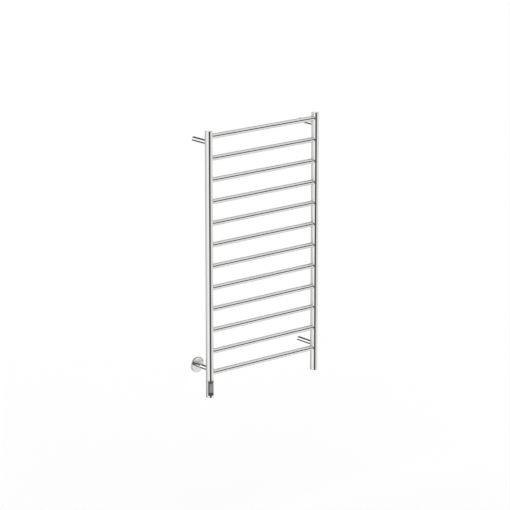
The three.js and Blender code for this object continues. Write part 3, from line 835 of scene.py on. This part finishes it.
# The lead in the wired leg, with its three cores at the cut end, and the bush round it.
def makeSupply():
    low, high = nodeBox("supply_lead")
    x, radius, bend, steps = (low[0] + high[0]) / 2, lead["radius"], lead["bend"], lead["straightSteps"]
    drop, level = low[1] + radius, high[2] - radius
    quarter = np.linspace(0, math.pi / 2, lead["bendSteps"])
    corner = np.stack([drop + bend - bend * np.sin(quarter), level - bend + bend * np.cos(quarter)], axis=1)
    ahead = bend + 0.5 * mm
    run = np.stack([np.linspace(high[1], drop + ahead, steps), np.full(steps, level)], axis=1)
    fall = np.stack([np.full(steps, drop), np.linspace(level - ahead, low[2], steps)], axis=1)
    flat = np.concatenate([run, corner, fall])
    path = np.concatenate([np.full((len(flat), 1), x), flat], axis=1)
    grid = tubeAlong(path, radius, lead["sides"])
    makePiece(
        "supplyLead", [(grid, False, True)], materials["rubber"], "black_rubber", replaced=("supply_lead",)
    )
    cores = (("Brown", "brownCore"), ("Blue", "blueCore"), ("Earth", "greenCore"))
    sunk, stub, wide = high[1] - lead["coreSunk"], high[1] + lead["coreStub"], lead["coreRadius"]
    corners = [(0, sunk, 0), (wide, sunk, 0), (wide, stub, lead["coreEdge"]), (0, stub, 0)]
    for k, (title, paint) in enumerate(cores):
        angle = turn * k / len(cores) + math.pi / 2
        off = lead["coreRing"]
        centre = np.array([x + off * math.cos(angle), 0, level + off * math.sin(angle)])
        turnedPiece("core" + title, corners, "y", centre, materials[paint], "black_rubber", 24, False)
    low, high = nodeBox("cable_bush")
    centre = np.array([nodeCentre("cable_bush")[0], 0, nodeCentre("cable_bush")[2]])
    outer, hole = (high[0] - low[0]) / 2, radius + bush["clearance"]
    front, back = low[1], high[1]
    corners = [
        (outer, front, bush["frontEdge"]),
        (outer, back, bush["backEdge"]),
        (hole, back, bush["mouth"]),
        (hole, front, bush["backEdge"]),
    ]
    turnedPiece(
        "cableBush", corners, "y", centre, materials["rubber"], "black_rubber", bush["segments"],
        replaced=("cable_bush",),
    )
    print("supply lead and bush made")


unit = dict(
    gap=0.3 * mm,
    sleeveWall=1.5 * mm,
    panelThickness=2.2 * mm,
    footCorner=5.5 * mm,
    topCorner=0.7 * mm,
    keypadCorner=2.2 * mm,
    keypadThickness=1.1 * mm,
    keypadGap=0.15 * mm,
    sleeveEdge=0.15 * mm,
    windowEdge=0.25 * mm,
    panelEdge=0.2 * mm,
    keypadEdge=0.12 * mm,
    perSide=60,
    rows=dict(sleeve=26, window=10, panel=14, keypad=12),
)
key = dict(
    radius=3.5 * mm,
    clearance=0.3 * mm,
    recess=0.12 * mm,
    dish=0.28 * mm,
    depth=3.6 * mm,
    edge=0.35 * mm,
    faceRings=12,
    edgeRings=6,
    segments=72,
)
keyMark = dict(size=1.5 * mm, width=0.34 * mm, raised=0.05 * mm, points=12, ringPoints=40)


# Wraps arc length round the left post's axis, 0 at the front and growing to the right.
def onPost(arc, height, radius=None):
    radius = postRadius if radius is None else radius
    angle = arc / postRadius
    x = leftAxis[0] + radius * np.sin(angle)
    y = leftAxis[1] - radius * np.cos(angle)
    return np.stack(np.broadcast_arrays(x, y, height), axis=-1)


# A box's outline, anticlockwise from its lower left corner. Points past a corner's centre move onto its arc.
def boxLoop(low, high, perSide, radii=(0, 0, 0, 0)):
    share = np.linspace(0, 1, perSide, endpoint=False)
    corners = np.array([(low[0], low[1]), (high[0], low[1]), (high[0], high[1]), (low[0], high[1])])
    ends = np.roll(corners, -1, axis=0)
    loop = (corners[:, None] + (ends - corners)[:, None] * share[None, :, None]).reshape(-1, 2)
    inwards = np.array([(1, 1), (-1, 1), (-1, -1), (1, -1)])
    for corner, inward, radius in zip(corners, inwards, radii):
        centre = corner + inward * radius
        offset = loop - centre
        past = np.all(offset * inward < 0, axis=1)
        length = np.linalg.norm(offset, axis=1, keepdims=True)
        loop = np.where(past[:, None], centre + offset / np.maximum(length, 1e-9) * radius, loop)
    return loop


# A circle with a box loop's number of points, starting at its lower left.
def circleLoop(centre, radius, perSide):
    angles = np.linspace(0, turn, 4 * perSide, endpoint=False) + math.radians(225)
    return np.array(centre) + radius * np.stack([np.cos(angles), np.sin(angles)], axis=1)


# Rows from an inner loop to an outer one, each point moving straight across.
def loopPatch(inner, outer, rows):
    share = np.linspace(0, 1, rows)[:, None, None]
    return onPost(*np.moveaxis(inner + (outer - inner) * share, -1, 0))


# Gives a curved sheet its thickness inwards, then eases its edges.
def finishSheet(piece, thickness, bevel):
    wall = piece.modifiers.new("wall", "SOLIDIFY")
    wall.thickness = thickness
    wall.offset = -1
    ease = piece.modifiers.new("edges", "BEVEL")
    ease.width = bevel
    ease.segments = 2
    ease.limit_method = "ANGLE"
    ease.angle_limit = math.radians(50)
    ease.harden_normals = True


# Half the panel's arc length, from how far the window reaches, and the panel's lowest and highest point.
def panelSpan():
    lensHigh = nodeBox("display_lens")[1]
    half = postRadius * math.asin((lensHigh[0] - leftAxis[0]) / postRadius)
    return half, nodeBox("control_bezel")[0][2], lensHigh[2]


# The tube round the controls: a sheet from the window's edge to the unrolled tube's outline, wrapped round.
def makeSleeve():
    half, low, high = panelSpan()
    gap, n = unit["gap"], unit["perSide"]
    foot, top = unit["footCorner"] + gap, unit["topCorner"] + gap
    window = boxLoop((-half - gap, low - gap), (half + gap, high + gap), n, (foot, foot, top, top))
    around = math.pi * postRadius
    outline = boxLoop((-around, sleeveLow[2]), (around, sleeveHigh[2]), n)
    sheet = (loopPatch(window, outline, unit["rows"]["sleeve"]), False, True)
    sleeve = makePiece(
        "controlSleeve", [sheet], materials["steelZ"], "polished_steel",
        replaced=("control_sleeve",), shell=False,
    )
    finishSheet(sleeve, unit["sleeveWall"], unit["sleeveEdge"])
    drill(sleeve, nodeCentre("sleeve_screw"), "y", 1, post["screwHole"])
    grubPiece("collarScrew", "collar_screw", "y", 1)
    grubPiece("sleeveScrew", "sleeve_screw", "y", 1)


def makePanel():
    half, low, high = panelSpan()
    n, foot, top = unit["perSide"], unit["footCorner"], unit["topCorner"]
    lensLow = nodeBox("display_lens")[0][2]
    bezelTop = nodeBox("control_bezel")[1][2]

    outline = boxLoop((-half, lensLow), (half, high), n, (0, 0, top, top))
    middle, reach = (lensLow + high) / 2, half * 0.9
    centreLine = boxLoop((-reach, middle), (reach, middle), n)
    sheet = (loopPatch(centreLine, outline, unit["rows"]["window"]), False, True)
    window = makePiece(
        "displayWindow", [sheet], materials["lens"], "display_lens", replaced=("display_lens",), shell=False
    )
    finishSheet(window, unit["panelThickness"], unit["windowEdge"])

    keypadLow, keypadHigh = nodeBox("keypad_overlay")
    keypadHalf = postRadius * math.asin((keypadHigh[0] - leftAxis[0]) / postRadius)
    corner, gap = unit["keypadCorner"], unit["keypadGap"]
    seatLow, seatHigh = (-keypadHalf - gap, keypadLow[2] - gap), (keypadHalf + gap, keypadHigh[2] + gap)
    seat = boxLoop(seatLow, seatHigh, n, (corner + gap,) * 4)
    outline = boxLoop((-half, low), (half, bezelTop), n, (foot, foot, 0, 0))
    sheet = (loopPatch(seat, outline, unit["rows"]["panel"]), False, True)
    bezel = makePiece(
        "controlFascia", [sheet], materials["fascia"], "fascia_dark", replaced=("control_bezel",), shell=False
    )
    finishSheet(bezel, unit["panelThickness"], unit["panelEdge"])

    names = ("button_warmer", "button_power", "button_cooler")
    heights = [nodeCentre(name)[2] for name in names]
    edges = [keypadHigh[2], *(np.array(heights[:-1]) + np.array(heights[1:])) / 2, keypadLow[2]]
    faceRadius = key["radius"] + key["clearance"]
    cells = []
    for k, height in enumerate(heights):
        radii = (corner * (k == 2), corner * (k == 2), corner * (k == 0), corner * (k == 0))
        cell = boxLoop((-keypadHalf, edges[k + 1]), (keypadHalf, edges[k]), n // 2, radii)
        hole = circleLoop((0, height), faceRadius, n // 2)
        cells.append((loopPatch(hole, cell, unit["rows"]["keypad"]), False, True))
    keypad = makePiece(
        "keypadStripe", cells, materials["keypad"], "keypad_grey", replaced=("keypad_overlay",), shell=False
    )
    finishSheet(keypad, unit["keypadThickness"], unit["keypadEdge"])


# How far in front of the post's axis a button's face is: the post's curve, set back and dished.
def keyFace(x, rho):
    curve = np.sqrt(postRadius**2 - x**2) - key["recess"]
    return curve - key["dish"] * (1 - np.clip(rho / key["radius"], 0, 1) ** 2) ** 2


# A round key: rings out over the dished face, over its eased edge, down its side and in across its back.
def makeKey(name, node, body):
    angles = np.linspace(0, turn, key["segments"], endpoint=False)[None, :]
    radius, edge = key["radius"], key["edge"]
    bend = np.linspace(0, math.pi / 2, key["edgeRings"])[:, None]
    face = np.linspace(0, radius - edge, key["faceRings"])[:, None]
    rho = np.concatenate([face, radius - edge + edge * np.sin(bend), [[radius]], [[0]]])
    sink = np.concatenate([0 * face, edge * (1 - np.cos(bend)), [[key["depth"]]], [[key["depth"]]]])
    x = rho * np.cos(angles)
    depth = keyFace(x, rho) - sink
    depth[-2:] = postRadius - key["depth"]
    height = nodeCentre(node)[2] + rho * np.sin(angles)
    grid = np.stack([leftAxis[0] + x, leftAxis[1] - depth, height], axis=-1)
    makePiece(
        name, [(grid, False, True)], materials["button"], "button_grey", body=body, replaced=(node,), sharp=50
    )


# A raised line on a key's face, along points (across, up), closed by its own thin sides.
def stroke(points, width, centreHeight):
    tangent = np.gradient(points, axis=0)
    tangent /= np.linalg.norm(tangent, axis=1)[:, None]
    side = np.stack([-tangent[:, 1], tangent[:, 0]], axis=1) * width / 2
    across = np.stack([points + side, points + side, points - side, points - side], axis=1)
    lift = np.array([-1.0, 1.0, 1.0, -1.0])[None, :] * keyMark["raised"]
    x, z = across[..., 0], across[..., 1]
    depth = keyFace(x, np.hypot(x, z)) + lift
    return np.stack([leftAxis[0] + x, leftAxis[1] - depth, centreHeight + z], axis=-1)


# Repeats each end's middle, so that the grid's ends close to a point.
def closeEnds(grid):
    first, last = grid[:1].mean(axis=1, keepdims=True), grid[-1:].mean(axis=1, keepdims=True)
    return np.concatenate([np.repeat(first, grid.shape[1], 1), grid, np.repeat(last, grid.shape[1], 1)])


def makeKeys():
    size, width = keyMark["size"], keyMark["width"]
    line = np.linspace(-size, size, keyMark["points"])
    flat, upright = np.stack([line, 0 * line], axis=1), np.stack([0 * line, line], axis=1)
    sweep = np.radians(np.linspace(125, 415, keyMark["ringPoints"]))  # open at the top
    ring = 0.85 * size * np.stack([np.cos(sweep), np.sin(sweep)], axis=1)
    short = np.stack([0 * line, np.linspace(0.15, 1.15, len(line)) * size], axis=1)
    # generic symbols: a cross for warmer, a broken ring for on and off, a dash for cooler
    marks = {"warmer": [flat, upright], "power": [ring, short], "cooler": [flat]}
    for title, strokes in marks.items():
        node, body = "button_" + title, title + "_key"
        makeKey("key" + title.title(), node, body)
        height = nodeCentre(node)[2]
        grids = [(closeEnds(stroke(points, width, height)), False, True) for points in strokes]
        makePiece("keyMark" + title.title(), grids, materials["mark"], "keypad_grey", body=body)
    print("control unit made")


def paintInnerNodes():
    paints = {
        "zinc_casting": "zinc", "red_silicone": "silicone", "board_green": "board",
        "housing_black": "housing", "pale_resin": "resin",
    }
    slotOf = {row["node"]: row["material_slot"] for row in frame["record"]["subparts"]}
    for name, node in frame["nodes"].items():
        if not node.hide_render:
            for materialSlot in node.material_slots:
                materialSlot.material = materials[paints[slotOf[name]]]
            print("keeps its CAD shape:", name)


bpy.context.scene.view_settings.view_transform = "Standard"
makeCamera()
makeWorld()
materials = makeMaterials()
makeFloor()
print("studio made")
makePosts()
makeBars()
makeLegs()
makeFlange()
makeSupply()
makeSleeve()
makePanel()
makeKeys()
paintInnerNodes()
